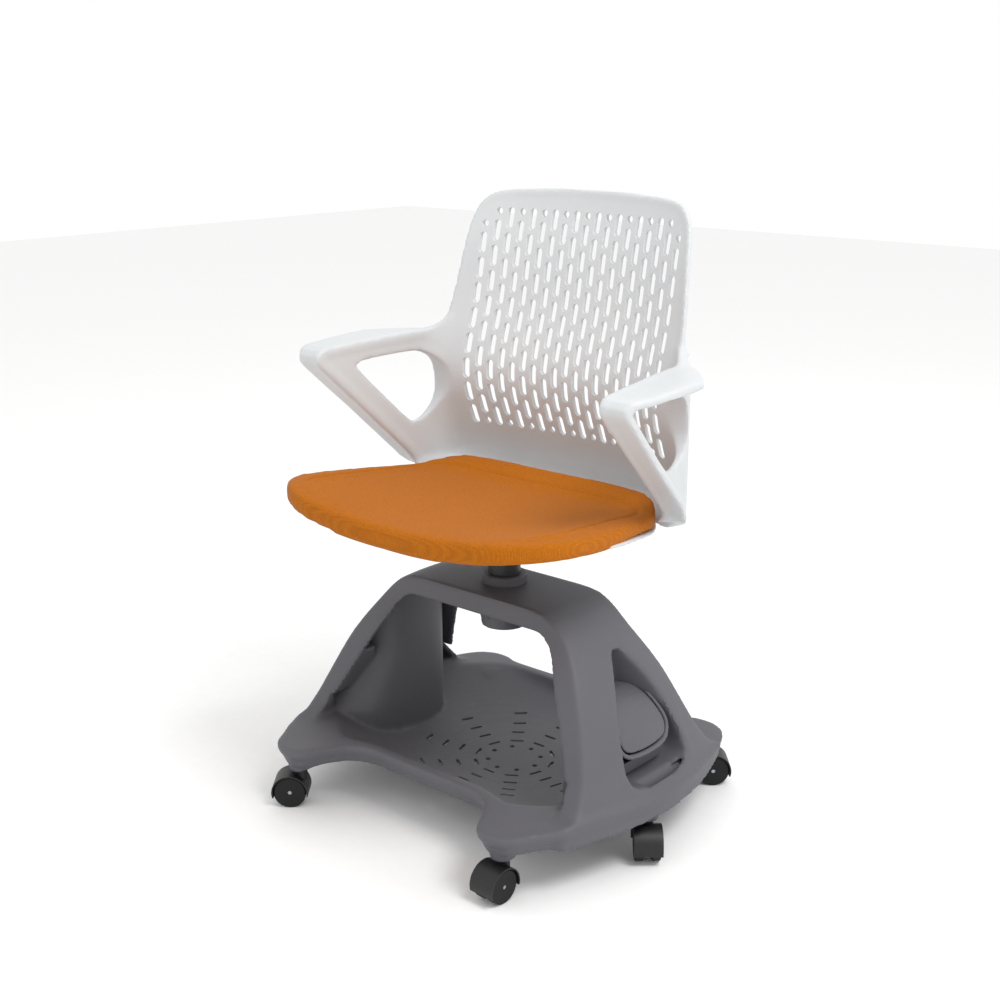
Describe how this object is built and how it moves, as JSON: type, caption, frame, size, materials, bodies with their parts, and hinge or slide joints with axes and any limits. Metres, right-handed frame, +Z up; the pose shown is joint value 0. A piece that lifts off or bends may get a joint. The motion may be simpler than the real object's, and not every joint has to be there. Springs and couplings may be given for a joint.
{
  "type": "student desk chair",
  "caption": "Swivel student chair: perforated one-piece back and arms, upholstered seat, gas lift and an arched storage base on twin-wheel castors.",
  "frame": {"origin": "on the floor, on the axis of the seat column", "axes": "+Z up along the column, -Y the way the sitter faces, +X to the sitter's left"},
  "size_m": [0.6686, 0.557, 0.918],
  "materials": {
    "base_plastic": "fine-textured injection moulded polypropylene",
    "bin_plastic": "fine-textured injection moulded polypropylene",
    "column_black": "satin black powder coat",
    "mechanism_black": "satin black powder coat on pressed steel",
    "polished_rod": "ground and hard-chromed rod",
    "steel": "zinc plated steel",
    "lever_plastic": "moulded nylon",
    "shell_white": "satin moulded polypropylene",
    "seat_orange": "woven upholstery over moulded foam",
    "sleeve_plastic": "acetal bush",
    "castor_black": "moulded nylon",
    "castor_wheel": "moulded nylon with a smooth tread"
  },
  "bodies": {
    "base": {"base_tray": "base_plastic", "base_arch": "base_plastic", "bin_pocket_left": "base_plastic", "bin_pocket_right": "base_plastic", "column_socket": "base_plastic", "column_collar": "base_plastic", "column_tube": "column_black", "thrust_bearing": "steel", "castor_sleeves": "sleeve_plastic", "bin_cup_left": "bin_plastic", "bin_collar_left": "bin_plastic", "bin_hinge_pin_left": "steel", "bin_cup_right": "bin_plastic", "bin_collar_right": "bin_plastic", "bin_hinge_pin_right": "steel"},
    "spindle": {"piston_rod": "polished_rod"},
    "seat": {"gas_cylinder": "column_black", "mechanism_plate": "mechanism_black", "mechanism_housing": "mechanism_black", "lever_bracket": "mechanism_black", "lever_pin": "steel", "plate_screws": "steel", "back_screws": "steel", "seat_pan": "shell_white", "back_shell": "shell_white", "seat_cushion": "seat_orange"},
    "lever": {"height_lever": "lever_plastic"},
    "lid_left": {"bin_lid_left": "bin_plastic"},
    "lid_right": {"bin_lid_right": "bin_plastic"},
    "castor_front_left_fork": {"castor_front_left_stem": "steel", "castor_front_left_hood": "castor_black"},
    "castor_front_left_wheels": {"castor_front_left_axle": "steel", "castor_front_left_wheel_a": "castor_wheel", "castor_front_left_wheel_b": "castor_wheel"},
    "castor_front_right_fork": {"castor_front_right_stem": "steel", "castor_front_right_hood": "castor_black"},
    "castor_front_right_wheels": {"castor_front_right_axle": "steel", "castor_front_right_wheel_a": "castor_wheel", "castor_front_right_wheel_b": "castor_wheel"},
    "castor_side_left_fork": {"castor_side_left_stem": "steel", "castor_side_left_hood": "castor_black"},
    "castor_side_left_wheels": {"castor_side_left_axle": "steel", "castor_side_left_wheel_a": "castor_wheel", "castor_side_left_wheel_b": "castor_wheel"},
    "castor_side_right_fork": {"castor_side_right_stem": "steel", "castor_side_right_hood": "castor_black"},
    "castor_side_right_wheels": {"castor_side_right_axle": "steel", "castor_side_right_wheel_a": "castor_wheel", "castor_side_right_wheel_b": "castor_wheel"},
    "castor_rear_left_fork": {"castor_rear_left_stem": "steel", "castor_rear_left_hood": "castor_black"},
    "castor_rear_left_wheels": {"castor_rear_left_axle": "steel", "castor_rear_left_wheel_a": "castor_wheel", "castor_rear_left_wheel_b": "castor_wheel"},
    "castor_rear_right_fork": {"castor_rear_right_stem": "steel", "castor_rear_right_hood": "castor_black"},
    "castor_rear_right_wheels": {"castor_rear_right_axle": "steel", "castor_rear_right_wheel_a": "castor_wheel", "castor_rear_right_wheel_b": "castor_wheel"}
  },
  "joints": [
    {"name": "seat_swivel", "type": "hinge", "parent": "base", "child": "spindle", "pos_m": [0, 0, 0.3], "axis": [0, 0, 1], "continuous": true},
    {"name": "seat_lift", "type": "slide", "parent": "spindle", "child": "seat", "axis": [0, 0, 1], "range_m": [0, 0.06]},
    {"name": "lever_lift", "type": "hinge", "parent": "seat", "child": "lever", "pos_m": [-0.062, -0.02, 0.418], "axis": [0, 1, 0], "range_deg": [0, 8], "stiffness_Nm_per_rad": 2, "springref_deg": -6.88},
    {"name": "lid_hinge_left", "type": "hinge", "parent": "base", "child": "lid_left", "pos_m": [0.193, 0, 0.218], "axis": [0, -1, 0], "range_deg": [0, 56]},
    {"name": "lid_hinge_right", "type": "hinge", "parent": "base", "child": "lid_right", "pos_m": [-0.193, 0, 0.218], "axis": [0, 1, 0], "range_deg": [0, 56]},
    {"name": "castor_front_left_swivel", "type": "hinge", "parent": "base", "child": "castor_front_left_fork", "pos_m": [0.205, -0.243, 0.07], "axis": [0, 0, 1], "continuous": true},
    {"name": "castor_front_left_roll", "type": "hinge", "parent": "castor_front_left_fork", "child": "castor_front_left_wheels", "pos_m": [0.20444, -0.25899, 0.025], "axis": [-0.9994, 0.0349, 0], "continuous": true},
    {"name": "castor_front_right_swivel", "type": "hinge", "parent": "base", "child": "castor_front_right_fork", "pos_m": [-0.205, -0.243, 0.07], "axis": [0, 0, 1], "continuous": true},
    {"name": "castor_front_right_roll", "type": "hinge", "parent": "castor_front_right_fork", "child": "castor_front_right_wheels", "pos_m": [-0.21726, -0.25328, 0.025], "axis": [-0.6428, 0.766, 0], "continuous": true},
    {"name": "castor_side_left_swivel", "type": "hinge", "parent": "base", "child": "castor_side_left_fork", "pos_m": [0.29, -0.024, 0.07], "axis": [0, 0, 1], "continuous": true},
    {"name": "castor_side_left_roll", "type": "hinge", "parent": "castor_side_left_fork", "child": "castor_side_left_wheels", "pos_m": [0.3005, -0.03608, 0.025], "axis": [-0.7547, -0.6561, 0], "continuous": true},
    {"name": "castor_side_right_swivel", "type": "hinge", "parent": "base", "child": "castor_side_right_fork", "pos_m": [-0.29, -0.024, 0.07], "axis": [0, 0, 1], "continuous": true},
    {"name": "castor_side_right_roll", "type": "hinge", "parent": "castor_side_right_fork", "child": "castor_side_right_wheels", "pos_m": [-0.29985, -0.01139, 0.025], "axis": [0.788, 0.6157, 0], "continuous": true},
    {"name": "castor_rear_left_swivel", "type": "hinge", "parent": "base", "child": "castor_rear_left_fork", "pos_m": [0.226, 0.221, 0.07], "axis": [0, 0, 1], "continuous": true},
    {"name": "castor_rear_left_roll", "type": "hinge", "parent": "castor_rear_left_fork", "child": "castor_rear_left_wheels", "pos_m": [0.23808, 0.2315, 0.025], "axis": [0.6561, -0.7547, 0], "continuous": true},
    {"name": "castor_rear_right_swivel", "type": "hinge", "parent": "base", "child": "castor_rear_right_fork", "pos_m": [-0.226, 0.221, 0.07], "axis": [0, 0, 1], "continuous": true},
    {"name": "castor_rear_right_roll", "type": "hinge", "parent": "castor_rear_right_fork", "child": "castor_rear_right_wheels", "pos_m": [-0.23014, 0.23645, 0.025], "axis": [0.9659, 0.2588, 0], "continuous": true}
  ]
}
